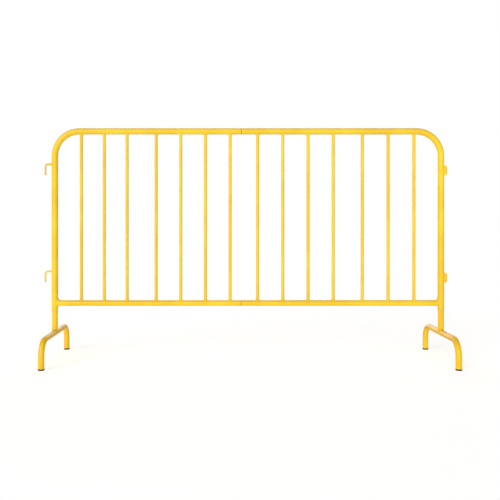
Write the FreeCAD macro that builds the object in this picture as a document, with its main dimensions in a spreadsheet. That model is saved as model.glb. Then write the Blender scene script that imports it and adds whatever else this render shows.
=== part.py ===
"""Crowd control barrier, powder-coated steel tube, in two halves on two lift-out feet.

The frame lies in the XZ plane. X runs along the barrier, from the hook end to the receiver end, Y runs
from the front to the rear, and Z runs up. The origin is on the floor, midway between the two end legs.
All sizes are in millimetres.
"""
import FreeCAD, Part
import math
import os

import Sketcher

doc = FreeCAD.newDocument("crowd_control_barrier")
sheet = doc.addObject("Spreadsheet::Sheet", "sizes")

# ---------------------------------------------------------------- driving dimensions
DRIVING_SIZES = [
    # Frame: an inverted U of round tube.
    ("leg_spacing", 1914.0),          # centre to centre of the two end legs
    ("overall_height", 1145.0),       # floor to the top of the top rail
    ("frame_tube_od", 31.75),
    ("frame_tube_wall", 1.5),
    ("corner_radius", 122.0),         # centreline of the two top bends
    ("leg_below_rail", 28.0),         # rail centreline to the open lower end of each leg
    # Bottom rail.
    ("rail_height", 278.0),           # floor to its centreline
    ("rail_od", 28.6),
    ("rail_wall", 1.5),
    # Joint between the two halves: a swaged male end on the left half.
    ("joint_offset", 34.5),           # from the middle, towards the hook end
    ("swage_taper", 2.5),             # length over which the tube necks down
    ("swage_length", 66.5),           # parallel stretch that enters the other half
    ("swage_fit", 0.075),             # radial, male end in tube bore
    ("swage_lead", 2.0),              # length of the lead-in at its tip
    # Upright bars.
    ("bar_od", 15.9),
    ("bar_wall", 1.2),
    ("left_end_gap", 131.0),          # leg centre to the first bar
    ("right_end_gap", 134.0),
    ("bar_group_gap", 144.0),         # between the outer and the inner group of a half
    ("left_outer_pitch", 113.4),
    ("left_inner_pitch", 122.2),
    ("right_outer_pitch", 128.0),
    ("right_inner_pitch", 125.0),
    # Hooks on the left leg.
    ("hook_rod", 9.5),
    ("hook_reach", 47.0),             # leg centre to the centre of the hanging pin
    ("hook_bend", 12.0),              # centreline radius
    ("hook_drop", 54.0),              # rod centreline at the root to the pin's tip
    ("hook_tip_chamfer", 1.5),
    ("upper_hook_drop", 163.125),     # top rail centreline down to the upper hook's rod
    ("lower_hook_rise", 156.5),       # bottom rail centreline up to the lower hook's rod
    # Receivers on the right leg: formed straps.
    ("strap_height", 50.8),
    ("strap_thickness", 3.0),
    ("strap_corner", 14.0),           # rounding of the strap's outer corners, front view
    ("strap_bend", 6.0),              # centreline radius of its two bends
    ("pin_slack", 1.6),               # a hook pin's total play in a receiver, along X
    ("pin_side_slack", 5.0),          # and along Y
    ("hook_seat_gap", 0.5),           # neighbour's hook rod above the strap's upper edge
    # Lift-out feet.
    ("foot_tube_od", 28.6),
    ("foot_tube_wall", 1.5),
    ("foot_height", 132.0),           # floor to the bridge's centreline
    ("foot_depth", 528.0),            # centre to centre of its two ends
    ("foot_bend", 73.0),              # centreline radius
    ("stem_insertion", 90.0),         # length of stem inside the leg
    ("stem_fit", 0.075),              # radial, stem in leg bore
    ("stem_wall", 1.5),
    ("stop_ring_height", 6.0),        # loose ring between the leg and the stem's bead
    ("ring_fit", 0.075),              # radial, ring on stem
    ("bead_height", 1.2),             # how far the rolled bead stands out of the stem
    ("bead_length", 3.0),             # its length along the stem
    # Rubber caps: plugs with a sole.
    ("cap_sole", 6.5),                # rubber under the tube's end
    ("cap_lip", 0.6),                 # how far the sole stands out of the tube
    ("cap_plug", 14.0),               # length of the plug inside the tube
    ("cap_fit", 0.05),                # radial, plug in tube bore
    ("cap_edge", 1.0),                # chamfer round its floor
    # Joint screws: button heads with a hexagon socket.
    ("screw_od", 6.0),
    ("screw_head_od", 10.5),
    ("screw_head_height", 3.3),
    ("screw_length", 9.0),
    ("screw_socket", 4.0),            # across flats
    ("screw_socket_depth", 1.8),
    ("screw_clearance", 0.2),         # radial, in the outer tube
    ("thread_clearance", 0.05),       # radial, in the tapped male end
]

for row, (alias, number) in enumerate(DRIVING_SIZES, start=1):
    sheet.set(f"A{row}", alias)
    sheet.set(f"B{row}", str(number))
    sheet.setAlias(f"B{row}", alias)
doc.recompute()


class Size:
    """A number from the sheet, kept with the expression that binds it there."""

    def __init__(self, value, text):
        self.value = value
        self.text = text

    def __add__(self, other):
        other = as_size(other)
        return Size(self.value + other.value, f"({self.text} + {other.text})")

    def __sub__(self, other):
        other = as_size(other)
        return Size(self.value - other.value, f"({self.text} - {other.text})")

    def __mul__(self, factor):
        return Size(self.value * factor, f"({self.text} * {factor})")

    def __truediv__(self, factor):
        return Size(self.value / factor, f"({self.text} / {factor})")

    def __neg__(self):
        return self * -1


def as_size(thing):
    """A plain number as a Size."""
    return thing if isinstance(thing, Size) else Size(float(thing), str(thing))


def size(alias):
    """One cell of the sheet."""
    return Size(float(sheet.get(alias)), f"sizes.{alias}")


ZERO = as_size(0)

# ---------------------------------------------------------------- places worked out from them
leg_x = size("leg_spacing") / 2
frame_radius = size("frame_tube_od") / 2
frame_bore = frame_radius - size("frame_tube_wall")
top_z = size("overall_height") - frame_radius
rail_z = size("rail_height")
leg_bottom_z = rail_z - size("leg_below_rail")
rail_radius = size("rail_od") / 2
rail_bore = rail_radius - size("rail_wall")
joint_x = -size("joint_offset")
right_half_x = joint_x + size("swage_taper")
swage_end_x = right_half_x + size("swage_length")
screw_x = right_half_x + size("swage_length") / 2
hook_radius = size("hook_rod") / 2
hook_heights = {
    "upper": top_z - size("upper_hook_drop"),
    "lower": rail_z + size("lower_hook_rise"),
}
foot_radius = size("foot_tube_od") / 2
foot_z = size("foot_height")
foot_y = size("foot_depth") / 2
stem_radius = frame_bore - size("stem_fit")
stem_top_z = leg_bottom_z + size("stem_insertion")
ring_z = leg_bottom_z - size("stop_ring_height")


# ---------------------------------------------------------------- sketch helpers
def new_body(label):
    """An empty body, named for the sub-part that it holds."""
    body = doc.addObject("PartDesign::Body", label)
    body.Label = label
    return body


def new_sketch(body, name, role, across=ZERO, up=ZERO, out=ZERO):
    """A sketch on one of the body's own origin planes, shifted across, up and out of it."""
    sketch = body.newObject("Sketcher::SketchObject", f"{body.Label}_{name}")
    plane = next(item for item in body.Origin.OriginFeatures if item.Role == role)
    sketch.AttachmentSupport = [(plane, "")]
    sketch.MapMode = "FlatFace"
    for letter, shift in zip("xyz", (across, up, out)):
        sketch.setExpression(f"AttachmentOffset.Base.{letter}", shift.text)
    return sketch


def bind(sketch, kind, places, length):
    """A constraint whose value comes from the sheet."""
    index = sketch.addConstraint(Sketcher.Constraint(kind, *places, length.value))
    sketch.setExpression(f"Constraints[{index}]", length.text)


def pin_point(sketch, edge, end, x, y):
    """Hold one end of an edge at a place measured from the sketch's origin."""
    bind(sketch, "DistanceX", (-1, 1, edge, end), x)
    bind(sketch, "DistanceY", (-1, 1, edge, end), y)


def add_circle(sketch, x, y, radius):
    """A circle with its centre at x, y."""
    centre = FreeCAD.Vector(x.value, y.value, 0)
    edge = sketch.addGeometry(Part.Circle(centre, FreeCAD.Vector(0, 0, 1), radius.value), False)
    bind(sketch, "Radius", (edge,), radius)
    pin_point(sketch, edge, 3, x, y)


def add_ring(sketch, x, y, outer, inner):
    """The section of a round tube."""
    add_circle(sketch, x, y, outer)
    add_circle(sketch, x, y, inner)


def add_polygon(sketch, corners):
    """A closed outline of straight lines through the corners."""
    first = None
    for here, after in zip(corners, corners[1:] + corners[:1]):
        start = FreeCAD.Vector(here[0].value, here[1].value, 0)
        finish = FreeCAD.Vector(after[0].value, after[1].value, 0)
        edge = sketch.addGeometry(Part.LineSegment(start, finish), False)
        pin_point(sketch, edge, 1, *here)
        if first is None:
            first = edge
        else:
            sketch.addConstraint(Sketcher.Constraint("Coincident", edge - 1, 2, edge, 1))
    sketch.addConstraint(Sketcher.Constraint("Coincident", edge, 2, first, 1))


def add_bent_path(sketch, start, runs, finish, radius):
    """A path of straight runs, level and upright by turns, joined by equal tangent bends.

    Each run is ("level", height) or ("upright", place across). start and finish are the free
    coordinates of the path's two ends.
    """
    def corner(one, two):
        level, upright = (one, two) if one[0] == "level" else (two, one)
        return FreeCAD.Vector(upright[1].value, level[1].value, 0)

    def end_point(run, free):
        across, up = (free, run[1]) if run[0] == "level" else (run[1], free)
        return FreeCAD.Vector(across.value, up.value, 0)

    points = [end_point(runs[0], start)]
    points += [corner(one, two) for one, two in zip(runs, runs[1:])]
    points += [end_point(runs[-1], finish)]
    trims = [0.0] + [radius.value] * (len(runs) - 1) + [0.0]
    lines = []
    for index, (here, after) in enumerate(zip(points, points[1:])):
        along = (after - here).normalize()
        line = Part.LineSegment(here + along * trims[index], after - along * trims[index + 1])
        lines.append(sketch.addGeometry(line, False))
        kind = "Horizontal" if runs[index][0] == "level" else "Vertical"
        sketch.addConstraint(Sketcher.Constraint(kind, lines[-1]))
    for index, bend in enumerate(points[1:-1], start=1):
        into = (bend - points[index - 1]).normalize()
        away = (points[index + 1] - bend).normalize()
        centre = bend - into * radius.value + away * radius.value
        middle = centre + (into - away).normalize() * radius.value
        arc = Part.Arc(bend - into * radius.value, middle, bend + away * radius.value)
        edge = sketch.addGeometry(arc, False)
        first_end = 1 if into.cross(away).z > 0 else 2
        sketch.addConstraint(Sketcher.Constraint("Tangent", lines[index - 1], 2, edge, first_end))
        sketch.addConstraint(Sketcher.Constraint("Tangent", lines[index], 1, edge, 3 - first_end))
        bind(sketch, "Radius", (edge,), radius)
    for index, (kind, place) in enumerate(runs):
        bind(sketch, "DistanceY" if kind == "level" else "DistanceX", (-1, 1, lines[index], 1), place)
    for run, line, end, free in ((runs[0], lines[0], 1, start), (runs[-1], lines[-1], 2, finish)):
        bind(sketch, "DistanceX" if run[0] == "level" else "DistanceY", (-1, 1, line, end), free)


# ---------------------------------------------------------------- feature helpers
def add_pad(body, sketch, length):
    """Raise a sketch along its normal."""
    pad = body.newObject("PartDesign::Pad", f"{sketch.Name}_pad")
    pad.Profile = sketch
    pad.setExpression("Length", length.text)
    return pad


def add_pocket(body, sketch, both_ways=False, depth=None):
    """Cut a sketch away, against its normal or both ways, to a depth or right through."""
    pocket = body.newObject("PartDesign::Pocket", f"{sketch.Name}_pocket")
    pocket.Profile = sketch
    if depth is None:
        pocket.Type = "ThroughAll"
        pocket.Midplane = both_ways
    else:
        pocket.setExpression("Length", depth.text)
    return pocket


def add_pipe(body, section, path):
    """Carry a section along a path."""
    pipe = body.newObject("PartDesign::AdditivePipe", f"{path.Name}_pipe")
    pipe.Profile = section
    doc.recompute()
    pipe.Spine = (path, [f"Edge{index + 1}" for index in range(len(path.Shape.Edges))])
    return pipe


def add_revolution(body, sketch, axis):
    """Turn a sketch about one of its own axes."""
    revolution = body.newObject("PartDesign::Revolution", f"{sketch.Name}_revolution")
    revolution.Profile = sketch
    revolution.ReferenceAxis = (sketch, [axis])
    revolution.Angle = 360.0
    return revolution


def cut_cross_tube(body, name, role, across, up, radius):
    """Cut a body where a round tube passes, which copes its end to fit that tube."""
    sketch = new_sketch(body, name, role)
    add_circle(sketch, across, up, radius)
    add_pocket(body, sketch, both_ways=True)


# ---------------------------------------------------------------- the two halves
def add_male_end(body, axis_z, outer, bore, mate_bore):
    """Neck a tube down at the joint, so that it slides into the other half."""
    male = mate_bore - size("swage_fit")
    male_bore = male - (outer - bore)
    tip = swage_end_x - size("swage_lead")
    sketch = new_sketch(body, "male_end", "XZ_Plane", up=axis_z)
    add_polygon(sketch, [
        (joint_x, bore),
        (joint_x, outer),
        (right_half_x, male),
        (tip, male),
        (swage_end_x, male - size("swage_lead") / 4),
        (swage_end_x, male_bore),
        (right_half_x, male_bore),
    ])
    add_revolution(body, sketch, "H_Axis")


def cut_screw_hole(body, axis_z, clearance):
    """A hole for the joint screw, through the rear wall only."""
    sketch = new_sketch(body, "screw_hole", "XZ_Plane")
    add_circle(sketch, screw_x, axis_z, size("screw_od") / 2 + clearance)
    add_pocket(body, sketch)


def make_frame_tube(side):
    """Leg, top bend and half of the top rail, in one bent tube."""
    body = new_body(f"{side}_frame_tube")
    centre_x = -leg_x if side == "left" else leg_x
    end_x = joint_x if side == "left" else right_half_x
    path = new_sketch(body, "path", "XZ_Plane")
    add_bent_path(path, leg_bottom_z, [("upright", centre_x), ("level", top_z)], end_x,
                  size("corner_radius"))
    section = new_sketch(body, "section", "XY_Plane", out=leg_bottom_z)
    add_ring(section, centre_x, ZERO, frame_radius, frame_bore)
    add_pipe(body, section, path)
    if side == "left":
        add_male_end(body, top_z, frame_radius, frame_bore, frame_bore)
        cut_screw_hole(body, top_z, size("thread_clearance"))
    else:
        cut_screw_hole(body, top_z, size("screw_clearance"))
    return body


def make_bottom_rail(side):
    """Half of the bottom rail, coped to its leg."""
    body = new_body(f"{side}_bottom_rail")
    centre_x = -leg_x if side == "left" else leg_x
    end_x = joint_x if side == "left" else right_half_x
    low_x, high_x = (centre_x, end_x) if side == "left" else (end_x, centre_x)
    section = new_sketch(body, "section", "YZ_Plane", out=low_x)
    add_ring(section, ZERO, rail_z, rail_radius, rail_bore)
    add_pad(body, section, high_x - low_x)
    cut_cross_tube(body, "leg_cope", "XY_Plane", centre_x, ZERO, frame_radius)
    if side == "left":
        add_male_end(body, rail_z, rail_radius, rail_bore, rail_bore)
        cut_screw_hole(body, rail_z, size("thread_clearance"))
    else:
        cut_screw_hole(body, rail_z, size("screw_clearance"))
    return body


def make_bar(number, x):
    """An upright bar, coped to the bottom rail and to the top rail."""
    body = new_body(f"bar_{number:02d}")
    outer = size("bar_od") / 2
    section = new_sketch(body, "section", "XY_Plane", out=rail_z)
    add_ring(section, x, ZERO, outer, outer - size("bar_wall"))
    add_pad(body, section, top_z - rail_z)
    cut_cross_tube(body, "top_cope", "YZ_Plane", ZERO, top_z, frame_radius)
    cut_cross_tube(body, "bottom_cope", "YZ_Plane", ZERO, rail_z, rail_radius)
    return body


def bar_places(side):
    """Where the bars of one half stand, from its leg inwards."""
    inwards = 1 if side == "left" else -1
    place = size(f"{side}_end_gap")
    places = [place]
    pitches = ["outer"] * 2 + ["group"] + ["inner"] * 3
    for pitch in pitches:
        step = size("bar_group_gap") if pitch == "group" else size(f"{side}_{pitch}_pitch")
        place = place + step
        places.append(place)
    return [(place - leg_x) * inwards for place in places]


# ---------------------------------------------------------------- links to the next barrier
def make_hook(name, height):
    """A rod bent down into a pin, welded to the left leg."""
    body = new_body(name)
    pin_x = -leg_x - size("hook_reach")
    path = new_sketch(body, "path", "XZ_Plane")
    add_bent_path(path, -leg_x, [("level", height), ("upright", pin_x)], height - size("hook_drop"),
                  size("hook_bend"))
    section = new_sketch(body, "section", "YZ_Plane", out=-leg_x)
    add_circle(section, ZERO, height, hook_radius)
    add_pipe(body, section, path)
    cut_cross_tube(body, "leg_cope", "XY_Plane", -leg_x, ZERO, frame_radius)
    doc.recompute()
    tip_z = (height - size("hook_drop")).value
    tip_edge = next(index for index, edge in enumerate(body.Shape.Edges, start=1)
                    if abs(edge.BoundBox.ZMax - tip_z) < 0.01)
    coped = body.Tip
    chamfer = body.newObject("PartDesign::Chamfer", f"{name}_tip")
    chamfer.Base = (coped, [f"Edge{tip_edge}"])
    chamfer.setExpression("Size", size("hook_tip_chamfer").text)
    return body


def make_receiver(name, hook_height):
    """A strap formed into a sleeve on the right leg, which takes the next barrier's hook pin."""
    body = new_body(name)
    half_thickness = size("strap_thickness") / 2
    top = hook_height - hook_radius - size("hook_seat_gap")
    middle = top - size("strap_height") / 2
    arm_y = hook_radius + size("pin_side_slack") / 2 + half_thickness
    web_x = leg_x + frame_radius + size("hook_rod") + size("pin_slack") + half_thickness
    path = new_sketch(body, "path", "XY_Plane", out=middle)
    add_bent_path(path, leg_x, [("level", -arm_y), ("upright", web_x), ("level", arm_y)], leg_x,
                  size("strap_bend"))
    section = new_sketch(body, "section", "YZ_Plane", out=leg_x)
    low, high = middle - size("strap_height") / 2, top
    near, far = -arm_y - half_thickness, -arm_y + half_thickness
    add_polygon(section, [(near, low), (far, low), (far, high), (near, high)])
    add_pipe(body, section, path)
    cut_cross_tube(body, "leg_cope", "XY_Plane", leg_x, ZERO, frame_radius)
    for corner_name, corner_z, inwards in (("lower", low, 1), ("upper", high, -1)):
        sketch = new_sketch(body, f"{corner_name}_corner", "XZ_Plane")
        add_corner_cut(sketch, web_x + half_thickness, corner_z, inwards, size("strap_corner"))
        add_pocket(body, sketch, both_ways=True)
    return body


def add_corner_cut(sketch, x, z, inwards, radius):
    """The piece outside a rounded corner: two straight edges and the quarter circle between them."""
    corner = FreeCAD.Vector(x.value, z.value, 0)
    reach = radius.value
    on_level = corner + FreeCAD.Vector(-reach, 0, 0)
    on_upright = corner + FreeCAD.Vector(0, inwards * reach, 0)
    centre = corner + FreeCAD.Vector(-reach, inwards * reach, 0)
    middle = centre + FreeCAD.Vector(1, -inwards, 0).normalize() * reach
    level = sketch.addGeometry(Part.LineSegment(corner, on_level), False)
    upright = sketch.addGeometry(Part.LineSegment(on_upright, corner), False)
    arc = sketch.addGeometry(Part.Arc(on_level, middle, on_upright), False)
    start = 1 if inwards > 0 else 2
    sketch.addConstraint(Sketcher.Constraint("Coincident", level, 1, upright, 2))
    sketch.addConstraint(Sketcher.Constraint("Horizontal", level))
    sketch.addConstraint(Sketcher.Constraint("Vertical", upright))
    sketch.addConstraint(Sketcher.Constraint("Tangent", level, 2, arc, start))
    sketch.addConstraint(Sketcher.Constraint("Tangent", upright, 1, arc, 3 - start))
    bind(sketch, "Radius", (arc,), radius)
    pin_point(sketch, level, 1, x, z)


# ---------------------------------------------------------------- lift-out feet
def make_foot_bridge(side, x):
    """A tube bent into a bridge, from the front cap to the rear cap."""
    body = new_body(f"{side}_foot_bridge")
    floor_z = size("cap_sole")
    path = new_sketch(body, "path", "YZ_Plane", out=x)
    add_bent_path(path, floor_z, [("upright", -foot_y), ("level", foot_z), ("upright", foot_y)],
                  floor_z, size("foot_bend"))
    section = new_sketch(body, "section", "XY_Plane", out=floor_z)
    add_ring(section, x, -foot_y, foot_radius, foot_radius - size("foot_tube_wall"))
    add_pipe(body, section, path)
    return body


def make_foot_stem(side, x):
    """The tube that stands on the bridge and enters the leg."""
    body = new_body(f"{side}_foot_stem")
    section = new_sketch(body, "section", "XY_Plane", out=foot_z)
    add_ring(section, x, ZERO, stem_radius, stem_radius - size("stem_wall"))
    add_pad(body, section, stem_top_z - foot_z)
    cut_cross_tube(body, "bridge_cope", "XZ_Plane", x, foot_z, foot_radius)
    bead = new_sketch(body, "bead", "XZ_Plane", across=x, up=ring_z)
    root = stem_radius - size("stem_wall") / 2
    crest = stem_radius + size("bead_height")
    add_polygon(bead, [
        (root, ZERO),
        (crest, ZERO),
        (crest, -size("bead_length") / 3),
        (stem_radius, -size("bead_length")),
        (root, -size("bead_length")),
    ])
    add_revolution(body, bead, "V_Axis")
    return body


def make_stop_ring(side, x):
    """The loose ring on the stem's bead, as wide as the leg that rests on it."""
    body = new_body(f"{side}_stop_ring")
    section = new_sketch(body, "section", "XY_Plane", out=ring_z)
    add_ring(section, x, ZERO, frame_radius, stem_radius + size("ring_fit"))
    add_pad(body, section, size("stop_ring_height"))
    return body


def make_cap(name, x, y):
    """A rubber cap: a round sole under the end of the bridge, and a plug that enters its bore."""
    body = new_body(name)
    outer = foot_radius + size("cap_lip")
    plug = foot_radius - size("foot_tube_wall") - size("cap_fit")
    sole = size("cap_sole")
    top = sole + size("cap_plug")
    edge = size("cap_edge")
    sketch = new_sketch(body, "profile", "XZ_Plane", across=x, out=-y)
    add_polygon(sketch, [
        (ZERO, ZERO),
        (outer - edge, ZERO),
        (outer, edge),
        (outer, sole),
        (plug, sole),
        (plug, top - edge),
        (plug - edge, top),
        (ZERO, top),
    ])
    add_revolution(body, sketch, "V_Axis")
    return body


# ---------------------------------------------------------------- joint screws
def make_joint_screw(name, axis_z, tube_radius):
    """A button-head screw at the rear of a joint, its head on the outer tube."""
    body = new_body(name)
    head = size("screw_head_od") / 2
    shank = size("screw_od") / 2
    seat = tube_radius
    crown = seat + size("screw_head_height")
    sketch = new_sketch(body, "profile", "YZ_Plane", up=axis_z, out=screw_x)
    add_polygon(sketch, [
        (seat - size("screw_length"), ZERO),
        (seat - size("screw_length"), shank),
        (seat, shank),
        (seat, head),
        (seat + size("screw_head_height") / 3, head),
        (seat + size("screw_head_height") * 0.75, head * 0.8),
        (crown, head * 0.5),
        (crown, ZERO),
    ])
    add_revolution(body, sketch, "H_Axis")
    socket = new_sketch(body, "socket", "XZ_Plane", across=screw_x, up=axis_z, out=-crown)
    corner_radius = size("screw_socket") / math.sqrt(3)
    turns = [math.radians(60 * index + 30) for index in range(6)]
    add_polygon(socket, [(corner_radius * round(math.cos(turn), 6),
                          corner_radius * round(math.sin(turn), 6)) for turn in turns])
    pocket = add_pocket(body, socket, depth=size("screw_socket_depth"))
    pocket.Reversed = True
    return body


# ---------------------------------------------------------------- assembly
parts = []
for side in ("left", "right"):
    parts.append(make_frame_tube(side))
    parts.append(make_bottom_rail(side))
bars = bar_places("left") + bar_places("right")[::-1]
for number, place in enumerate(bars, start=1):
    parts.append(make_bar(number, place))
for level, height in hook_heights.items():
    parts.append(make_hook(f"{level}_hook", height))
    parts.append(make_receiver(f"{level}_receiver", height))
for side, centre in (("left", -leg_x), ("right", leg_x)):
    parts.append(make_foot_bridge(side, centre))
    parts.append(make_foot_stem(side, centre))
    parts.append(make_stop_ring(side, centre))
    for end, place in (("front", -foot_y), ("rear", foot_y)):
        parts.append(make_cap(f"{side}_{end}_cap", centre, place))
parts.append(make_joint_screw("top_joint_screw", top_z, frame_radius))
parts.append(make_joint_screw("bottom_joint_screw", rail_z, rail_radius))

doc.recompute()
for item in doc.Objects:
    if "Invalid" in item.State or "Error" in item.State:
        raise RuntimeError(f"{item.Name} failed: {item.State}")
for part in parts:
    if part.Shape.isNull() or not part.Shape.isValid() or len(part.Shape.Solids) != 1:
        raise RuntimeError(f"{part.Label} is not one valid solid")

os.makedirs("parts", exist_ok=True)
for part in parts:
    part.Shape.exportStep(f"parts/{part.Label}.step")
print(f"{len(parts)} sub-parts written")
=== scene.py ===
"""Crowd control barrier: finished surfaces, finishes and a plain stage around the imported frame.

Every length is in metres, in the frame's own axes: X runs along the barrier from the hook end to the
receiver end, Y from the front to the rear, Z up, with the floor at zero.
"""

import math

import bpy
import numpy as np
from bpy.props import FloatProperty, FloatVectorProperty, IntProperty, PointerProperty
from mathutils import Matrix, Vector


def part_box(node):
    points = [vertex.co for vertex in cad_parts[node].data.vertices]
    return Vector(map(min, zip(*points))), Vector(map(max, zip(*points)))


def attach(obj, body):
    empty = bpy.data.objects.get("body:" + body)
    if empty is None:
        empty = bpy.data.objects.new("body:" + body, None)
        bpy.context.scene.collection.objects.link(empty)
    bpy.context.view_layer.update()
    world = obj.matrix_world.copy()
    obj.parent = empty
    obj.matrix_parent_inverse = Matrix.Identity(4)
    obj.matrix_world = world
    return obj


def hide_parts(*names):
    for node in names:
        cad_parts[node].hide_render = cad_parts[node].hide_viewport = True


bl_info = {
    "name": "Crowd Control Barrier",
    "version": (1, 0, 0),
    "blender": (4, 5, 0),
    "location": "View3D > Sidebar > Barrier",
    "description": "Builds the finished surfaces of a steel tube crowd control barrier",
    "category": "Add Mesh",
}

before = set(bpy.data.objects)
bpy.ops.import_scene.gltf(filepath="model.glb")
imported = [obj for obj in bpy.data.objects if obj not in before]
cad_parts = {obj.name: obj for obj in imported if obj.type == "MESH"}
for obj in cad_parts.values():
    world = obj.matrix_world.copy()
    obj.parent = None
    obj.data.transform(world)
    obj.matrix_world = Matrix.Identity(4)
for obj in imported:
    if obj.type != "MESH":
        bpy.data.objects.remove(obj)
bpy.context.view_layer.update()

SIDES = ("left", "right")
LEVELS = ("upper", "lower")
AXIS_X, AXIS_Y, AXIS_Z = np.eye(3)
HOUSE = "barrier"

# Points round the slim pieces and the caps, and rings along the rails and the bars.
SLIM_TURNS = 40
CAP_TURNS = 64
RAIL_RINGS = 34
BAR_RINGS = 28

# Rings on a hook and on a strap for one station gap.
HOOK_RINGS_PER_GAP = 4
STRAP_RINGS_PER_GAP = 15

# Angles round a rolled lip and round a bend, and the angle past which an edge is shaded sharp.
LIP_ANGLES = np.linspace(0.0, np.pi, 9)[1:-1]
BEND_ANGLES = np.linspace(0.0, np.pi / 2, 33)[1:-1, None]
SHARP_ANGLE = math.radians(38)

# Share of a strap's half thickness that its rounded edges take.
STRAP_EDGE_SHARE = 0.7

# Wear, and grime with painted shade, from 0 to 1, in the places that have some.
LIP_WEAR = 1.0
JOINT_WEAR = 0.6
HOOK_TIP_WEAR = 0.9
HOOK_ARM_WEAR = 0.25
RECEIVER_WEAR = 0.10
BEAD_WEAR = 0.18
RING_WEAR = 0.22
# Joint grime is dirt and painted shadow in the gap of each tube joint.
FRAME_JOINT_DIRT_AND_SHADE = 0.6
RAIL_JOINT_DIRT_AND_SHADE = 0.45
# Weld grime is faint dirt and painted shade laid over each weld bead.
WELD_DIRT_AND_SHADE = 0.05

# Bulge of the weld faces: 1 is flat, less is hollow and more is full.
BAR_WELD_BULGE = 0.9
RAIL_WELD_BULGE = 0.45
STEM_WELD_BULGE = 0.75
HOOK_WELD_BULGE = 1.0
STRAP_WELD_BULGE = 0.95


# ------------------------------------------------------------------ places read from the frame
def low_high(node):
    """The two corners of a frame node, as arrays."""
    low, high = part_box(node)
    return np.array(low), np.array(high)


def middle(node):
    """The centre of a frame node's box."""
    low, high = low_high(node)
    return (low + high) / 2


FRAME_RADIUS = float(low_high("left_frame_tube")[1][1])
TOP_Z = float(low_high("left_frame_tube")[1][2]) - FRAME_RADIUS
LEG_BOTTOM = float(low_high("left_frame_tube")[0][2])
LEG_X = {side: float(middle(f"{side}_foot_stem")[0]) for side in SIDES}
RAIL_RADIUS = float(low_high("left_bottom_rail")[1][1])
RAIL_Z = float(middle("left_bottom_rail")[2])
RIGHT_HALF_X = float(low_high("right_frame_tube")[0][0])
MALE_END_X = float(low_high("left_frame_tube")[1][0])
BARS = sorted(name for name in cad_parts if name.startswith("bar_"))
BAR_RADIUS = float(low_high(BARS[0])[1][1])
FOOT_RADIUS = float(np.ptp([corner[0] for corner in low_high("left_foot_bridge")])) / 2
FOOT_Z = float(low_high("left_foot_bridge")[1][2]) - FOOT_RADIUS
FOOT_Y = float(low_high("left_foot_bridge")[1][1]) - FOOT_RADIUS
FOOT_END_Z = float(low_high("left_foot_bridge")[0][2])


# ------------------------------------------------------------------ sizes and colours a user may change
def length(name, default, description):
    """A length setting."""
    return FloatProperty(name=name, description=description, default=default, unit="LENGTH",
                         precision=5, min=0.0)


def colour(name, default, description):
    """A colour setting."""
    return FloatVectorProperty(name=name, description=description, default=default, size=3,
                               subtype="COLOR", min=0.0, max=1.0)


class BarrierSizes(bpy.types.PropertyGroup):
    """Sizes that the frame's boxes don't give."""
    corner_radius: length("Top bend", 0.122, "Centreline radius of the two top bends")
    tube_wall: length("Tube wall", 0.0015, "Wall of the frame, rail and foot tubes")
    bar_wall: length("Bar wall", 0.0012, "Wall of the upright bars")
    swage_taper: length("Swage taper", 0.0025, "Length over which a male end necks down")
    swage_fit: length("Swage fit", 0.000075, "Radial room round a male end")
    swage_lead: length("Swage lead", 0.002, "Lead-in at the tip of a male end")
    hook_bend: length("Hook bend", 0.012, "Centreline radius of a hook's bend")
    hook_chamfer: length("Hook tip", 0.0015, "Chamfer round a hook's tip")
    strap_thickness: length("Strap", 0.003, "Thickness of a receiver's strap")
    strap_bend: length("Strap bend", 0.006, "Centreline radius of a strap's bends")
    strap_corner: length("Strap corner", 0.014, "Rounding of a strap's outer corners")
    foot_bend: length("Foot bend", 0.073, "Centreline radius of a foot's bends")
    bead_height: length("Bead height", 0.0012, "How far a stem's bead stands out")
    bead_length: length("Bead length", 0.003, "Length of a stem's bead")
    ring_fit: length("Ring fit", 0.000075, "Room between the stem and its bead and the stop ring")
    cap_fit: length("Cap fit", 0.00005, "Radial room round a cap's plug")
    cap_rounding: length("Cap rounding", 0.0013, "Rounding of a cap's lower edge, twice the upper one's")
    cap_tread: length("Cap tread", 0.0005, "Depth of the rings under a cap")
    bar_weld: length("Bar weld", 0.0026, "Toe length of the welds at the bars")
    rail_weld: length("Rail weld", 0.0055, "Toe length of the welds at the bottom rail's ends")
    rail_gusset: length("Rail fillet", 0.013, "Toe length of the filled corner above the rail")
    hook_weld: length("Hook weld", 0.0032, "Toe length of the welds at the hooks")
    strap_weld: length("Strap weld", 0.0030, "Toe length of the welds at the receivers")
    stem_weld: length("Stem weld", 0.0048, "Toe length of the welds at the stems")
    ripple_pitch: length("Ripple pitch", 0.0024, "Distance from one weld ripple to the next")
    ripple_depth: length("Ripple depth", 0.00022, "Depth of the weld ripples under the coating")
    station_gap: length("Station gap", 0.030, "Longest distance between rings on a straight run")
    turns: IntProperty(name="Facets", description="Points round a frame tube", default=64, min=16)


class BarrierColours(bpy.types.PropertyGroup):
    """Colours of the finishes and of the stage."""
    frame_yellow: colour("Frame", (0.900, 0.600, 0.019), "Powder coat on the frame")
    # Deeper orange than the frame: partly the feet's own coat, partly painted orange bounce light between the
    # tubes.
    foot_yellow_and_bounce: colour("Feet", (0.955, 0.570, 0.009), "Powder coat on the feet")
    worn_yellow: colour("Worn edge", (0.62, 0.34, 0.035), "Thinned coating at edges")
    # Grime colour: dirt in low splashes, and in the joints and weld roots also painted shadow of the gaps and
    # roots.
    grime_and_shade: colour("Grime", (0.115, 0.060, 0.018), "Dirt in joints and weld roots")
    rubber: colour("Rubber", (0.012, 0.012, 0.013), "Rubber of the caps")
    rubber_dust: colour("Rubber dust", (0.085, 0.080, 0.072), "Dust on the rubber")
    zinc: colour("Zinc", (0.62, 0.63, 0.66), "Plating of the screws")
    floor: colour("Floor", (0.90, 0.90, 0.90), "Studio floor")


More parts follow.
